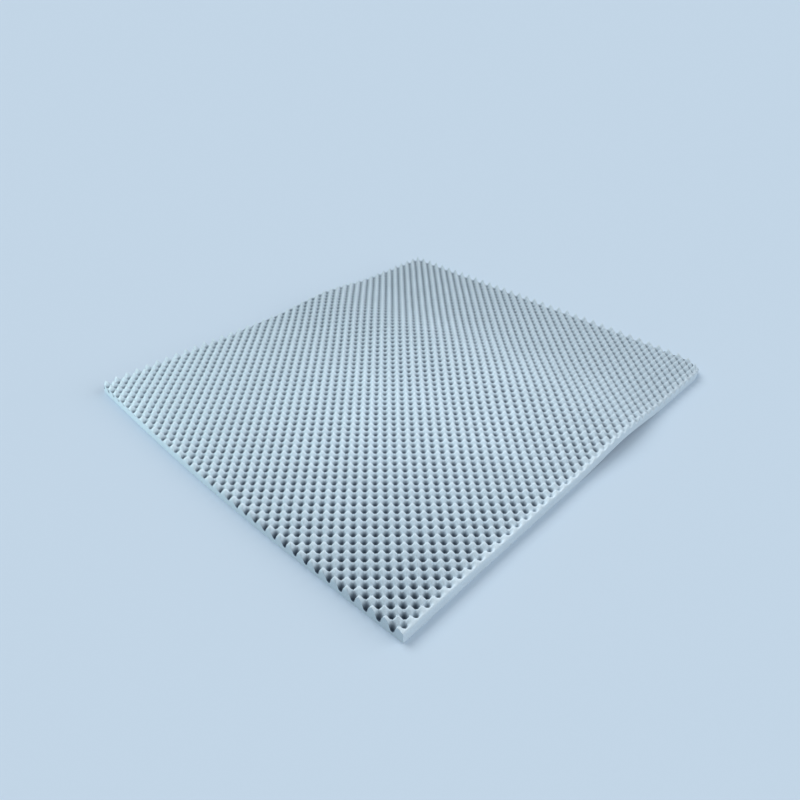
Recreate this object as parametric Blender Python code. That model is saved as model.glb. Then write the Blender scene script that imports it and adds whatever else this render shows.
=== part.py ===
"""Convoluted foam mattress topper: one sheet of foam, plain below, with rows of peaks and pits on top.

The sheet is described flat first, by a (along its width) and b (along its length), both from its near
corner. It is then laid out as it rests: the left edge swells outwards, the right corner is drawn in, the
near corner reaches out, and a low hump that the folded sheet has kept crosses it.
"""

import math

import bpy
import numpy as np

# The cut sheet, in metres
WIDTH = 2.000  # along X
LENGTH = 1.800  # along Y
THICKNESS = 0.058  # underside to the top of a peak
PIT_DEPTH = 0.045  # top of a peak to the bottom of a pit

# The pattern: peaks and pits take turns, one half pitch apart, in rows and columns
HALF_PITCH_X = WIDTH / 81.25
HALF_PITCH_Y = LENGTH / 70.75
FIRST_COLUMN = 0.80 * HALF_PITCH_X  # near corner to the first full column, along X
FIRST_ROW = 0.66 * HALF_PITCH_Y  # near corner to the first full row, along Y
ROW_SLANT = math.tan(math.radians(0.60))  # the rows run slightly off the near edge
COLUMN_SLANT = math.tan(math.radians(0.44))  # and the columns slightly off the left edge
COLUMNS = 80
ROWS = 70
CUT_MARGIN = 0.007  # least distance from a full row or column to the cut edge
PIT_NARROWNESS = 1.15  # 1 for pits as wide as the peaks
EDGE_STRETCH = 0.008  # the pattern is pushed this far in from the left edge
STRETCH_REACH = 0.15  # and a third as far at this distance from it

# The near edge has a plain rim: the outer row of pits closes up where it runs off that edge
RIM_LOW = 0.35  # height of the rim: 0 at the peaks, 1 at the pits
RIM_REACH = 0.0145  # the pits are a third closed at this distance from the edge

# How the sheet lies
HUMP_HEIGHT = 0.022
HUMP_PLACE = 1.258  # from the left edge
HUMP_HALF_WIDTH = 0.358
EDGE_SWELL = 0.0255  # the left edge's bulge at its middle
SWELL_FADE = 0.78  # the bulge falls to a third this far in from the edge
CORNER_PULL = 0.045  # how far the right corner is drawn in along X
PULL_REACH_X = 0.34
PULL_REACH_Y = 0.18
CORNER_REACH = 0.027  # how far the near corner reaches out along Y
CORNER_REACH_FADE = 1.02

# The underside is plain, so it has points on its edges alone
STEPS_BEFORE_HUMP = 4
HUMP_STEPS = 10
STEPS_AFTER_HUMP = 3
SIDE_STEPS = 12
SIDE_CROWDING = 1.5  # over 1, the points of the side edges lie closer together at the near end

FOAM_COLOUR = (0.60, 0.72, 0.79, 1.0)  # pale blue grey, linear
FOAM_ROUGHNESS = 0.95


def clear_scene():
    for item in list(bpy.data.objects):
        bpy.data.objects.remove(item, do_unlink=True)


def flat_place(column, row):
    """Where column and row of the slanted pattern cross, on the flat sheet."""
    along = FIRST_COLUMN + column * HALF_PITCH_X
    across = FIRST_ROW + row * HALF_PITCH_Y
    a = (along + COLUMN_SLANT * across) / (1.0 + COLUMN_SLANT * ROW_SLANT)
    return a + EDGE_STRETCH * np.exp(-a / STRETCH_REACH), across - ROW_SLANT * a


def pattern_place(a, b):
    """The reverse: the column and row that a place on the flat sheet falls on."""
    unstretched = a - EDGE_STRETCH * np.exp(-a / STRETCH_REACH)
    column = (unstretched - COLUMN_SLANT * b - FIRST_COLUMN) / HALF_PITCH_X
    row = (b + ROW_SLANT * a - FIRST_ROW) / HALF_PITCH_Y
    return column, row


def relief(a, b):
    """Foam height above the underside: pits where column and row are both even or both odd."""
    column, row = pattern_place(a, b)
    wave = np.cos(math.pi * column) * np.cos(math.pi * row)
    low = ((1.0 + wave) / 2) ** PIT_NARROWNESS
    closing = np.exp(-((b / RIM_REACH) ** 2))
    return THICKNESS - PIT_DEPTH * (low + (RIM_LOW - low) * closing)


def hump(a):
    """Height of the underside above the floor."""
    share = np.clip((a - HUMP_PLACE) / HUMP_HALF_WIDTH, -1.0, 1.0)
    return HUMP_HEIGHT * np.cos(share * math.pi / 2) ** 2


def laid(a, b, height):
    """A place on the flat sheet, at a height above its underside, as the sheet lies on the floor."""
    swell = EDGE_SWELL * np.sin(math.pi * b / LENGTH) * np.exp(-a / SWELL_FADE)
    pull = CORNER_PULL * np.exp((a - WIDTH) / PULL_REACH_X) * np.exp(-b / PULL_REACH_Y)
    reach = CORNER_REACH * np.exp(-(a + b) / CORNER_REACH_FADE)
    return np.stack([a - swell - pull, b - reach, height + hump(a)], axis=-1)


def top_grid():
    """Flat places of the top's points: a point on each peak and pit, and a ring on the cut edge."""
    column, row = np.meshgrid(np.arange(-1, COLUMNS + 1), np.arange(-1, ROWS + 1))
    a, b = flat_place(column, row)
    a[0], b[0] = FIRST_COLUMN + column[0] * HALF_PITCH_X, 0.0
    a[-1], b[-1] = FIRST_COLUMN + column[-1] * HALF_PITCH_X + COLUMN_SLANT * LENGTH, LENGTH
    a[:, 0], b[:, 0] = 0.0, FIRST_ROW + row[:, 0] * HALF_PITCH_Y
    a[:, -1], b[:, -1] = WIDTH, FIRST_ROW + row[:, -1] * HALF_PITCH_Y - ROW_SLANT * WIDTH
    a[:, 1:-1] = np.clip(a[:, 1:-1], CUT_MARGIN, WIDTH - CUT_MARGIN)
    b[1:-1] = np.clip(b[1:-1], CUT_MARGIN, LENGTH - CUT_MARGIN)
    b[0], b[-1] = 0.0, LENGTH
    a[:, 0], a[:, -1] = 0.0, WIDTH
    return a, b


def underside_edge():
    """Flat places once round the underside's edge, from the near corner, and the place of each corner."""
    hump_start, hump_end = HUMP_PLACE - HUMP_HALF_WIDTH, HUMP_PLACE + HUMP_HALF_WIDTH
    across = np.concatenate([
        np.linspace(0.0, hump_start, STEPS_BEFORE_HUMP, endpoint=False),
        np.linspace(hump_start, hump_end, HUMP_STEPS, endpoint=False),
        np.linspace(hump_end, WIDTH, STEPS_AFTER_HUMP + 1),
    ])
    along = LENGTH * np.linspace(0.0, 1.0, SIDE_STEPS + 1) ** SIDE_CROWDING
    steps = len(across) - 1
    a = np.concatenate([across[:-1], np.full(SIDE_STEPS, WIDTH), across[:0:-1], np.zeros(SIDE_STEPS)])
    b = np.concatenate([np.zeros(steps), along[:-1], np.full(steps, LENGTH), along[:0:-1]])
    return a, b, np.cumsum([0, steps, SIDE_STEPS, steps, SIDE_STEPS])


def top_faces(ids):
    """Two triangles a cell, split from peak to peak, so that each pit is a hollow of its own."""
    faces = []
    for r in range(ids.shape[0] - 1):
        for c in range(ids.shape[1] - 1):
            near_left, near_right = ids[r, c], ids[r, c + 1]
            far_left, far_right = ids[r + 1, c], ids[r + 1, c + 1]
            if (r + c) % 2 == 1:
                faces += [(near_left, near_right, far_right), (near_left, far_right, far_left)]
            else:
                faces += [(near_left, near_right, far_left), (near_right, far_right, far_left)]
    return faces


def underside_faces(sides):
    """Strips from the near edge to the far edge, which follow the hump. The outer two hold the sides."""
    near, right, far, left = sides
    far = far[::-1]
    faces = [(near[i], far[i], far[i + 1], near[i + 1]) for i in range(1, len(near) - 2)]
    faces.append((*left, near[1], far[1])[::-1])
    faces.append((*right, far[-2], near[-2])[::-1])
    return faces


def wall_faces(upper, lower, upper_at, lower_at):
    """Triangles between the close points of the top's edge and the few points of the underside's."""
    faces = []
    u, w = 0, 0
    while u < len(upper) - 1 or w < len(lower) - 1:
        upper_next = upper_at[u + 1] if u < len(upper) - 1 else math.inf
        lower_next = lower_at[w + 1] if w < len(lower) - 1 else math.inf
        if upper_next <= lower_next:
            faces.append((upper[u], lower[w], upper[u + 1]))
            u += 1
        else:
            faces.append((upper[u], lower[w], lower[w + 1]))
            w += 1
    return faces


def sides_of(loop, corners):
    """The four sides of a loop of points that starts at a corner: near, right, far, left."""
    closed = np.append(loop, loop[0])
    return [closed[start : end + 1] for start, end in zip(corners[:-1], corners[1:])]


def edge_loop(grid):
    """The outer values of a grid once round from the near corner, and the place of each corner."""
    rows, columns = grid.shape
    loop = np.concatenate([grid[0, :-1], grid[:-1, -1], grid[-1, :0:-1], grid[:0:-1, 0]])
    return loop, np.cumsum([0, columns - 1, rows - 1, columns - 1, rows - 1])


def all_walls(rim_sides, under_sides, flat):
    """The cut sides: the flat places' a runs along the near and far one, b along the right and left one."""
    faces = []
    for upper, lower, axis in zip(rim_sides, under_sides, (0, 1, 0, 1)):
        along = flat[axis]
        upper_at = abs(along[upper] - along[upper[0]])
        lower_at = abs(along[lower] - along[lower[0]])
        faces += wall_faces(upper, lower, upper_at, lower_at)
    return faces


def centred(points):
    """The points moved so that the middle of their floor outline is the origin."""
    middle = (points.min(axis=0) + points.max(axis=0)) / 2
    return points - np.array([middle[0], middle[1], 0.0])


def foam_material():
    material = bpy.data.materials.new("open_cell_foam")
    material.use_nodes = True
    shader = material.node_tree.nodes["Principled BSDF"]
    shader.inputs["Base Color"].default_value = FOAM_COLOUR
    shader.inputs["Roughness"].default_value = FOAM_ROUGHNESS
    shader.inputs["Metallic"].default_value = 0.0
    return material


def foam_sheet():
    top_a, top_b = top_grid()
    under_a, under_b, under_corners = underside_edge()
    top = laid(top_a, top_b, relief(top_a, top_b)).reshape(-1, 3)
    under = laid(under_a, under_b, 0.0)
    flat = np.append(top_a, under_a), np.append(top_b, under_b)
    top_ids = np.arange(len(top)).reshape(top_a.shape)
    rim_ids, rim_corners = edge_loop(top_ids)
    rim_sides = sides_of(rim_ids, rim_corners)
    under_sides = sides_of(len(top) + np.arange(len(under)), under_corners)
    faces = top_faces(top_ids) + underside_faces(under_sides) + all_walls(rim_sides, under_sides, flat)
    points = centred(np.concatenate([top, under]))
    mesh = bpy.data.meshes.new("foam_sheet")
    mesh.from_pydata(points.tolist(), [], [[int(i) for i in face] for face in faces])
    mesh.materials.append(foam_material())
    sheet = bpy.data.objects.new("foam_sheet", mesh)
    bpy.context.scene.collection.objects.link(sheet)
    return sheet


clear_scene()
foam_sheet()
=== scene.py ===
import math

import bpy
import numpy as np
from mathutils import Matrix, Vector


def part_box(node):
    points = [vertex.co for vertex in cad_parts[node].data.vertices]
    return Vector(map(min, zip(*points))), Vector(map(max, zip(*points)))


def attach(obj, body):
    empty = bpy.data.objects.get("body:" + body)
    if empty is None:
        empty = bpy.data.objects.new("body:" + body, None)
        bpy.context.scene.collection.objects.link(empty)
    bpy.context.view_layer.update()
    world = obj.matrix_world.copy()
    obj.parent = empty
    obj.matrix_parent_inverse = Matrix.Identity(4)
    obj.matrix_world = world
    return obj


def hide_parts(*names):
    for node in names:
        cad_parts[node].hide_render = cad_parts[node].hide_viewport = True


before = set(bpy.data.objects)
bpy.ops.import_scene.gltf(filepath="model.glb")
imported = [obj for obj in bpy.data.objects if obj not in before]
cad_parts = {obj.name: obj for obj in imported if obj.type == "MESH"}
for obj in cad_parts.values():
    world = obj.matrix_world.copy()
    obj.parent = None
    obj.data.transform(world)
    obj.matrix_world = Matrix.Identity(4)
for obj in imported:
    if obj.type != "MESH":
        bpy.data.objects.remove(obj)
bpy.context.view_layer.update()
print("frame loaded")


def linearColour(hexCode):
    # sRGB hex to the linear colour that the shaders take, by the sRGB standard's curve
    shares = [int(hexCode[i : i + 2], 16) / 255 for i in (1, 3, 5)]
    return [s / 12.92 if s <= 0.04045 else ((s + 0.055) / 1.055) ** 2.4 for s in shares] + [1.0]


def addNode(tree, kind, settings=None, values=None, links=None):
    # one node: settings on the node, values on its sockets, links from other nodes' outputs
    node = tree.nodes.new(kind)
    for name, setting in (settings or {}).items():
        setattr(node, name, setting)
    for name, value in (values or {}).items():
        node.inputs[name].default_value = value
    for name, output in (links or {}).items():
        tree.links.new(output, node.inputs[name])
    return node


# The foam sheet, in metres. It is described flat, by a along its width and b along its length,
# both from the near corner, and then laid out as it rests.
foam = {
    "width": 2.000,
    "length": 1.800,
    "thickness": 0.058,  # underside to the top of a peak
    "pitDepth": 0.045,  # top of a peak to the bottom of a pit
    # the pattern: peaks and pits take turns in columns and rows, half a pitch apart
    "columnsAcross": 81.25,  # half pitches in the width
    "rowsAlong": 70.75,  # and in the length
    "firstColumn": 0.80,  # near corner to the first full column and row, in half pitches
    "firstRow": 0.66,
    "rowSlant": 0.60,  # degrees that the rows run off the near edge
    "columnSlant": 0.44,  # and the columns off the left edge
    "edgeStretch": 0.0080,  # the pattern is pushed in from the left edge
    "stretchReach": 0.15,
    # the cut between the peaks and the pits
    "saddleShare": 0.50,  # depth of a saddle between two peaks, as a share of a pit's
    "peakPower": 0.60,  # 0.5 for sharp peaks with round saddles, 1 for round peaks
    "wellEnd": 0.54,  # where a pit's wall meets its bottom: 0 at the saddles, 1 at its middle
    "ridgeLift": 0.11,  # lifts the flanks, halfway from a peak to a pit
    "unevenHeight": 0.0012,  # the cut is this uneven from peak to peak
    "unevenPlace": 0.03,  # and the pattern wanders by this many half pitches
    "seeds": {"column": 1, "row": 2, "height": 3},
    # the near edge
    "rimLow": 0.35,  # height of its rim, which has no pits: 0 at the peaks, 1 at the pits
    "rimReach": 0.0145,  # the pits close up this near to it
    "rimTeeth": 0.45,  # its right part is cut through the pits, which keep this share of their depth
    "teethFrom": 1.00,  # the teeth that this leaves start here, along the width
    "teethFull": 1.40,  # and are at their deepest from here on
    "edgeRound": 0.008,  # radius of its rounding
    # how the sheet lies
    "humpHeight": 0.022,  # a low hump that the folded sheet has kept
    "humpPlace": 1.258,  # its middle, along the width
    "humpHalfWidth": 0.358,
    "edgeSwell": 0.0255,  # the left edge bulges at its middle
    "swellFade": 0.78,  # and the bulge fades over this distance
    "cornerPull": 0.045,  # the right corner is drawn in
    "pullReachX": 0.34,  # which fades over these distances
    "pullReachY": 0.18,
    "cornerRound": 0.011,  # its tip is blunted by this much, both ways
    "cornerDrop": 0.010,  # and lower by this much
    "cornerSize": 0.045,  # within about this far of the tip
    "cornerReach": 0.027,  # the near corner reaches out
    "cornerReachFade": 1.02,  # which fades over this distance
    # the mesh
    "meshSteps": 4,  # steps in each half pitch
    "spareColumns": 1.0,  # half pitches of mesh before the first column, for the left edge
    "spareRows": 0.5,  # and before the first row and past the last one
    "edgeSteps": 8,  # steps that fit the mesh to a cut edge
    "edgeLines": (0.12, 0.35, 0.65),  # lines added at the near edge, as shares of the outer step
    "wallSteps": 3,  # steps down a cut edge
    "underStrips": 16,  # strips of the underside, across the hump
    "sharpFrom": 55.0,  # degrees: crests between pits and cut edges are sharper, all else is smooth
}
halfPitchX = foam["width"] / foam["columnsAcross"]
halfPitchY = foam["length"] / foam["rowsAlong"]


def smoothStep(value, start, end):
    share = np.clip((value - start) / (end - start), 0.0, 1.0)
    return share * share * (3.0 - 2.0 * share)


def fitToEdges(place, extent, axis):
    # moves the mesh lines near two cut edges so that the outer ones lie on the cut
    place = np.moveaxis(place, axis, 0)
    steps = np.arange(len(place))[:, None]
    nearShare = np.clip(1.0 - steps / foam["edgeSteps"], 0.0, 1.0)
    moved = place - place[:1] * nearShare + (extent - place[-1:]) * nearShare[::-1]
    return np.moveaxis(moved, 0, axis)


def withEdgeLines(places):
    # extra mesh lines beside the near edge, for its rounding
    between = [places[:1] + (places[1:2] - places[:1]) * share for share in foam["edgeLines"]]
    return np.concatenate([places[:1], *between, places[1:]])


def unevenness(column, row, seed):
    # one random value from -1 to 1 for each peak and pit, blended between them
    columnFrom = column - np.floor(column.min())
    rowFrom = row - np.floor(row.min())
    size = (int(rowFrom.max()) + 2, int(columnFrom.max()) + 2)
    values = np.random.default_rng(seed).uniform(-1.0, 1.0, size)
    left, below = columnFrom.astype(int), rowFrom.astype(int)
    columnShare, rowShare = columnFrom - left, rowFrom - below
    near = values[below, left] * (1 - columnShare) + values[below, left + 1] * columnShare
    far = values[below + 1, left] * (1 - columnShare) + values[below + 1, left + 1] * columnShare
    return near * (1 - rowShare) + far * rowShare


def meshPlaces():
    # columns and rows of the pattern at the mesh points, and their places on the flat sheet
    steps = foam["meshSteps"]
    lastColumn = foam["columnsAcross"] - foam["firstColumn"]
    lastRow = foam["rowsAlong"] - foam["firstRow"]
    column, row = np.meshgrid(
        np.arange(-foam["spareColumns"] * steps, round(lastColumn * steps) + 1) / steps,
        np.arange(-foam["spareRows"] * steps, round((lastRow + foam["spareRows"]) * steps) + 1) / steps,
    )
    columnSlant = math.tan(math.radians(foam["columnSlant"]))
    rowSlant = math.tan(math.radians(foam["rowSlant"]))
    along = (foam["firstColumn"] + column) * halfPitchX
    across = (foam["firstRow"] + row) * halfPitchY
    a = (along + columnSlant * across) / (1.0 + columnSlant * rowSlant)
    b = across - rowSlant * a
    a = a + foam["edgeStretch"] * np.exp(-a / foam["stretchReach"])
    fittedA = fitToEdges(a, foam["width"], 1)
    fittedB = fitToEdges(b, foam["length"], 0)
    column = column + (fittedA - a) / halfPitchX
    row = row + (fittedB - b) / halfPitchY
    return [withEdgeLines(places) for places in (column, row, fittedA, fittedB)]


def pitShare(column, row):
    # 1 at the bottom of a pit, 0 at the top of a peak
    seeds = foam["seeds"]
    column = column + foam["unevenPlace"] * unevenness(column, row, seeds["column"])
    row = row + foam["unevenPlace"] * unevenness(column, row, seeds["row"])
    wave = np.cos(math.pi * column) * np.cos(math.pi * row)
    flank = (1 - np.cos(2 * math.pi * column) * np.cos(2 * math.pi * row)) / 2
    wave = wave - foam["ridgeLift"] * flank
    dip = foam["saddleShare"] * (1.0 + wave).clip(0.0) ** foam["peakPower"]
    rest = 1.0 - foam["saddleShare"] * 2.0 ** foam["peakPower"]
    return dip + rest * smoothStep(wave, 0.0, foam["wellEnd"])


def nearRightCorner(a, b):
    # 1 at the tip of the right corner, fading to 0 around it
    return np.exp(-((foam["width"] - a) ** 2 + b**2) / foam["cornerSize"] ** 2)


def topHeight(column, row, a, b):
    # height of the top at the mesh points, and how far down in a pit each one is, from 0 to 1, which
    # sets the painted shade there
    share = pitShare(column, row)
    closing = np.exp(-((b / foam["rimReach"]) ** 2))
    closing = closing * (1.0 - foam["rimTeeth"] * smoothStep(a, foam["teethFrom"], foam["teethFull"]))
    low = share + (foam["rimLow"] - share) * closing
    inside = np.clip(1.0 - b / foam["edgeRound"], 0.0, 1.0)
    lost = foam["edgeRound"] * (1.0 - np.sqrt(1.0 - inside**2))
    lost = lost + foam["unevenHeight"] * unevenness(column, row, foam["seeds"]["height"])
    lost = lost + foam["cornerDrop"] * nearRightCorner(a, b)
    return foam["thickness"] - foam["pitDepth"] * low - lost, share * (1.0 - closing)


def hump(a):
    share = np.clip((a - foam["humpPlace"]) / foam["humpHalfWidth"], -1.0, 1.0)
    return foam["humpHeight"] * np.cos(share * math.pi / 2) ** 2


def laid(a, b, height):
    # a place on the flat sheet, at a height above its underside, as the sheet lies
    swell = foam["edgeSwell"] * np.sin(math.pi * b / foam["length"]) * np.exp(-a / foam["swellFade"])
    pull = foam["cornerPull"] * np.exp((a - foam["width"]) / foam["pullReachX"])
    pull = pull * np.exp(-b / foam["pullReachY"])
    reach = foam["cornerReach"] * np.exp(-(a + b) / foam["cornerReachFade"])
    blunt = foam["cornerRound"] * nearRightCorner(a, b)
    return np.stack([a - swell - pull - blunt, b - reach + blunt, height + hump(a)], axis=-1)


def topFaces(ids, column, row):
    # two triangles a cell, split the way that the crest between two peaks runs there
    cellColumn = (column[:-1, :-1] + column[1:, 1:]) / 2
    cellRow = (row[:-1, :-1] + row[1:, 1:]) / 2
    crestRises = (np.floor(cellColumn) + np.floor(cellRow)) % 2 == 1
    corners = np.stack([ids[:-1, :-1], ids[:-1, 1:], ids[1:, 1:], ids[1:, :-1]], axis=-1)
    rising = corners[crestRises]
    falling = corners[~crestRises]
    split = [rising[:, [0, 1, 2]], rising[:, [0, 2, 3]], falling[:, [0, 1, 3]], falling[:, [1, 2, 3]]]
    return np.concatenate(split).tolist()


def edgeLoop(ids):
    # the outer ids of a grid, once round from the near corner
    return np.concatenate([ids[0, :-1], ids[:-1, -1], ids[-1, :0:-1], ids[:0:-1, 0]])


def wallFaces(rings):
    # the cut edges, between one ring of ids and the next one down
    faces = []
    for upper, lower in zip(rings[:-1], rings[1:]):
        upperNext, lowerNext = np.roll(upper, -1), np.roll(lower, -1)
        faces += np.stack([upper, lower, lowerNext, upperNext], axis=-1).tolist()
    return faces


def undersideFaces(loop, columns, rows):
    # strips from the near edge to the far edge, which follow the hump
    near = loop[: columns + 1]
    right = loop[columns : columns + rows + 1]
    far = loop[columns + rows : 2 * columns + rows + 1][::-1]
    left = np.append(loop[2 * columns + rows :], loop[0])[::-1]
    stops = np.linspace(0, columns, foam["underStrips"] + 1).astype(int)
    faces = []
    for start, stop in zip(stops[:-1], stops[1:]):
        face = list(far[start : stop + 1]) + list(near[start : stop + 1][::-1])
        if start == 0:
            face += list(left[1:-1])
        if stop == columns:
            face[stop - start + 1 : stop - start + 1] = list(right[1:-1][::-1])
        faces.append([int(i) for i in face])
    return faces


def foamShape():
    # points, faces and, for the painted shade in the pits, how far down in a pit each point is
    column, row, a, b = meshPlaces()
    height, low = topHeight(column, row, a, b)
    points = [laid(a, b, height).reshape(-1, 3)]
    pitShadeShares = [low.ravel()]
    topIds = np.arange(a.size).reshape(a.shape)
    rim = edgeLoop(topIds)
    rimA, rimB = a.ravel()[rim], b.ravel()[rim]
    rings = [rim]
    for step in range(1, foam["wallSteps"] + 1):
        remaining = 1.0 - step / foam["wallSteps"]
        points.append(laid(rimA, rimB, height.ravel()[rim] * remaining))
        pitShadeShares.append(np.zeros(len(rim)))
        rings.append(np.arange(len(rim)) + a.size + (step - 1) * len(rim))
    faces = topFaces(topIds, column, row) + wallFaces(rings)
    faces += undersideFaces(rings[-1], a.shape[1] - 1, a.shape[0] - 1)
    return np.concatenate(points), faces, np.concatenate(pitShadeShares)


def makeFoam():
    points, faces, pitShadeShares = foamShape()
    mesh = bpy.data.meshes.new("foamSheet")
    mesh.from_pydata(points.tolist(), [], faces)
    mesh.shade_smooth()
    mesh.set_sharp_from_angle(angle=math.radians(foam["sharpFrom"]))
    # the low attribute is the mask of the painted shade in the pits
    stored = mesh.attributes.new("low", "FLOAT", "POINT")
    stored.data.foreach_set("value", pitShadeShares.astype(np.float32))
    made = bpy.data.objects.new("foamSheet", mesh)
    lowest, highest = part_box("foam_sheet")
    middle = (points.min(axis=0) + points.max(axis=0)) / 2
    made.location = ((lowest.x + highest.x) / 2 - middle[0], (lowest.y + highest.y) / 2 - middle[1], 0.0)
    bpy.context.scene.collection.objects.link(made)
    return made


foamLook = {
    "skin": "#bbccd8",
    "pit": "#364759",  # painted shade: the foam made darker down in the pits, where little light gets
    # the painted shade by depth, from 0 at a peak to 1 at the bottom of a pit
    "pitStart": 0.43,  # the skin's colour ends and the painted shade begins here, just above the saddles
    "pitEnd": 0.98,  # the full painted shade is reached here
    "pitMiddle": 0.72,  # and has this share halfway between
    "roughness": 0.9,
    "specular": 0.2,  # foam is mostly air, so it has little of a solid plastic's gloss
    "cellMm": 5.0,  # the foam's cells are under 1 mm: drawn this coarse, so that they show
    "cellDepthMm": 0.5,
    "cellShade": 0.05,
    "cellDetail": 2.0,
    "patchMm": 150.0,  # the colour is a little uneven across the sheet
    "patchShade": 0.02,
    "noiseRange": (0.3, 0.7),  # nearly all of a noise's values lie in here
}


def shadedBy(tree, colour, noise, shade):
    # the colour, lighter and darker by this share where the noise is high and low
    low, high = foamLook["noiseRange"]
    limits = {"From Min": low, "From Max": high, "To Min": 1 - shade, "To Max": 1 + shade}
    value = addNode(tree, "ShaderNodeMapRange", values=limits, links={"Value": noise})
    inputs = {"Color": colour, "Value": value.outputs["Result"]}
    return addNode(tree, "ShaderNodeHueSaturation", links=inputs).outputs["Color"]


def paintedPitShade(tree):
    # the skin's colour on peaks and saddles, with painted shade that grows darker and darker down a pit
    skin, pit = linearColour(foamLook["skin"]), linearColour(foamLook["pit"])
    # the low attribute says how far down in a pit a point is: the mask of the painted shade
    low = addNode(tree, "ShaderNodeAttribute", {"attribute_name": "low"})
    ramp = addNode(tree, "ShaderNodeValToRGB", links={"Fac": low.outputs["Fac"]})
    start, end = ramp.color_ramp.elements
    start.position, start.color = foamLook["pitStart"], skin
    end.position, end.color = foamLook["pitEnd"], pit
    middle = ramp.color_ramp.elements.new((foamLook["pitStart"] + foamLook["pitEnd"]) / 2)
    middle.color = [s + (p - s) * foamLook["pitMiddle"] for s, p in zip(skin, pit)]
    return ramp.outputs["Color"]


def foamMaterial():
    # open-cell polyurethane foam, cut: matt, pale blue grey and finely pitted, with painted shade making
    # it dark down in its pits
    material = bpy.data.materials.new("openCellFoam")
    material.use_nodes = True
    tree = material.node_tree
    shader = tree.nodes["Principled BSDF"]
    shader.inputs["Roughness"].default_value = foamLook["roughness"]
    shader.inputs["Specular IOR Level"].default_value = foamLook["specular"]
    place = {"Vector": addNode(tree, "ShaderNodeTexCoord").outputs["Object"]}
    fine = {"Scale": 1000 / foamLook["cellMm"], "Detail": foamLook["cellDetail"]}
    broad = {"Scale": 1000 / foamLook["patchMm"]}
    cells = addNode(tree, "ShaderNodeTexNoise", values=fine, links=place).outputs["Fac"]
    patches = addNode(tree, "ShaderNodeTexNoise", values=broad, links=place).outputs["Fac"]
    colour = shadedBy(tree, paintedPitShade(tree), cells, foamLook["cellShade"])
    colour = shadedBy(tree, colour, patches, foamLook["patchShade"])
    tree.links.new(colour, shader.inputs["Base Color"])
    depth = {"Distance": foamLook["cellDepthMm"] / 1000}
    bump = addNode(tree, "ShaderNodeBump", values=depth, links={"Height": cells})
    tree.links.new(bump.outputs["Normal"], shader.inputs["Normal"])
    return material


sheet = makeFoam()
sheet.data.materials.append(foamMaterial())
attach(sheet, "root")
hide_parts("foam_sheet")
print("foam sheet made:", len(sheet.data.polygons), "faces")

studio = {
    "floorSize": 400.0,  # metres, wide enough to fill the picture
    "floor": "#c2d5e6",
    "sky": "#ffffff",
    "skyStrength": 0.395,
    # two broad lights: one from behind on the left, and a low one from the right. In degrees,
    # size is how wide each one looks, turn where it stands, from +X towards +Y, and rise how high
    "suns": {
        "mainLight": {"strength": 1.73, "size": 40.0, "turn": 93.0, "rise": 51.0},
        "fillLight": {"strength": 1.86, "size": 60.0, "turn": -52.0, "rise": 17.0},
    },
    # two lamps light the foam alone, so that the floor stays even; metres from the near corner
    "lamps": {
        "sideLamp": {
            "place": (-1.05, 1.80, 0.75),
            "aim": (0.3, 1.3, 0.0),
            "power": 15.0,
            "colour": "#ecfff9",
        },
        "topLamp": {
            "place": (0.72, 0.50, 0.90),
            "aim": (0.72, 0.50, 0.0),
            "power": 5.5,
            "colour": "#ffffff",
        },
    },
    "lampSize": 1.2,  # metres across
}


def floorMaterial():
    # floor in matt paint: plain and pale, with no gloss, so that only the soft shadow shows on it
    material = bpy.data.materials.new("mattPaintedFloor")
    material.use_nodes = True
    shader = material.node_tree.nodes["Principled BSDF"]
    shader.inputs["Base Color"].default_value = linearColour(studio["floor"])
    shader.inputs["Roughness"].default_value = 1.0
    shader.inputs["Specular IOR Level"].default_value = 0.0
    return material


def makeFloor():
    half = studio["floorSize"] / 2
    corners = [(-half, -half, 0), (half, -half, 0), (half, half, 0), (-half, half, 0)]
    mesh = bpy.data.meshes.new("floor")
    mesh.from_pydata(corners, [], [(0, 1, 2, 3)])
    mesh.materials.append(floorMaterial())
    floor = bpy.data.objects.new("floor", mesh)
    bpy.context.scene.collection.objects.link(floor)


def makeSky():
    world = bpy.data.worlds.new("studio")
    world.use_nodes = True
    bpy.context.scene.world = world
    sky = world.node_tree.nodes["Background"]
    sky.inputs["Color"].default_value = linearColour(studio["sky"])
    sky.inputs["Strength"].default_value = studio["skyStrength"]


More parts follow.
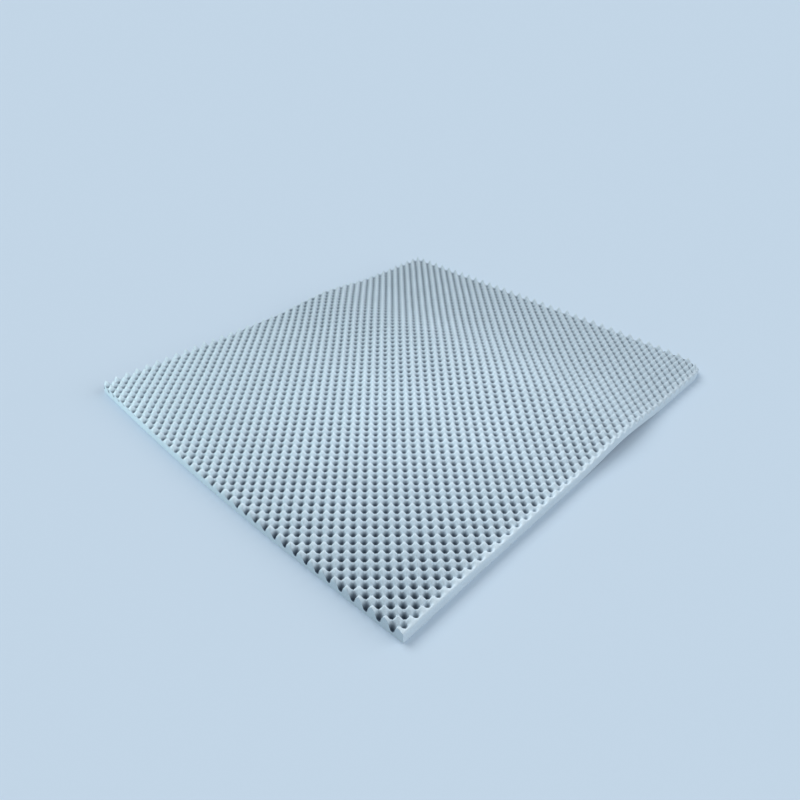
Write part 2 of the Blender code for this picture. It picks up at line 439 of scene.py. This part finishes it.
def makeSun(name, sun):
    light = bpy.data.lights.new(name, "SUN")
    light.energy = sun["strength"]
    light.angle = math.radians(sun["size"])
    holder = bpy.data.objects.new(name, light)
    holder.rotation_euler = (math.radians(90 - sun["rise"]), 0, math.radians(sun["turn"] + 90))
    bpy.context.scene.collection.objects.link(holder)


def makeLamp(name, lamp, nearCorner, lit):
    light = bpy.data.lights.new(name, "AREA")
    light.shape = "DISK"
    light.size = studio["lampSize"]
    light.energy = lamp["power"]
    light.color = linearColour(lamp["colour"])[:3]
    place = Vector(lamp["place"])
    holder = bpy.data.objects.new(name, light)
    holder.location = place + nearCorner
    holder.rotation_euler = (Vector(lamp["aim"]) - place).to_track_quat("-Z", "Y").to_euler()
    holder.light_linking.receiver_collection = lit
    bpy.context.scene.collection.objects.link(holder)


def makeLights(litSheet):
    makeSky()
    for name, sun in studio["suns"].items():
        makeSun(name, sun)
    foamOnly = bpy.data.collections.new("foamOnly")
    foamOnly.objects.link(litSheet)
    for name, lamp in studio["lamps"].items():
        makeLamp(name, lamp, litSheet.location, foamOnly)


makeFloor()
makeLights(sheet)
print("floor and light made")

view = {
    "fromNearCorner": (-0.8160, -0.8264, 1.5776),  # metres
    "turn": 44.70,  # degrees, from +X towards +Y
    "drop": 33.855,  # degrees below the horizon
    "roll": -0.310,  # degrees
    "lens": 29.743,  # millimetres
    "sensor": 36.0,
}


def makeCamera(nearCorner):
    data = bpy.data.cameras.new("camera")
    data.lens = view["lens"]
    data.sensor_width = view["sensor"]
    data.clip_end = studio["floorSize"]
    camera = bpy.data.objects.new("camera", data)
    turn = Matrix.Rotation(math.radians(view["turn"] - 90), 4, "Z")
    tilt = Matrix.Rotation(math.radians(90 - view["drop"]), 4, "X")
    roll = Matrix.Rotation(math.radians(view["roll"]), 4, "Z")
    place = Matrix.Translation(nearCorner + Vector(view["fromNearCorner"]))
    camera.matrix_world = place @ turn @ tilt @ roll
    bpy.context.scene.collection.objects.link(camera)
    bpy.context.scene.camera = camera


makeCamera(sheet.location)
bpy.context.scene.view_settings.view_transform = "Standard"
print("camera placed")
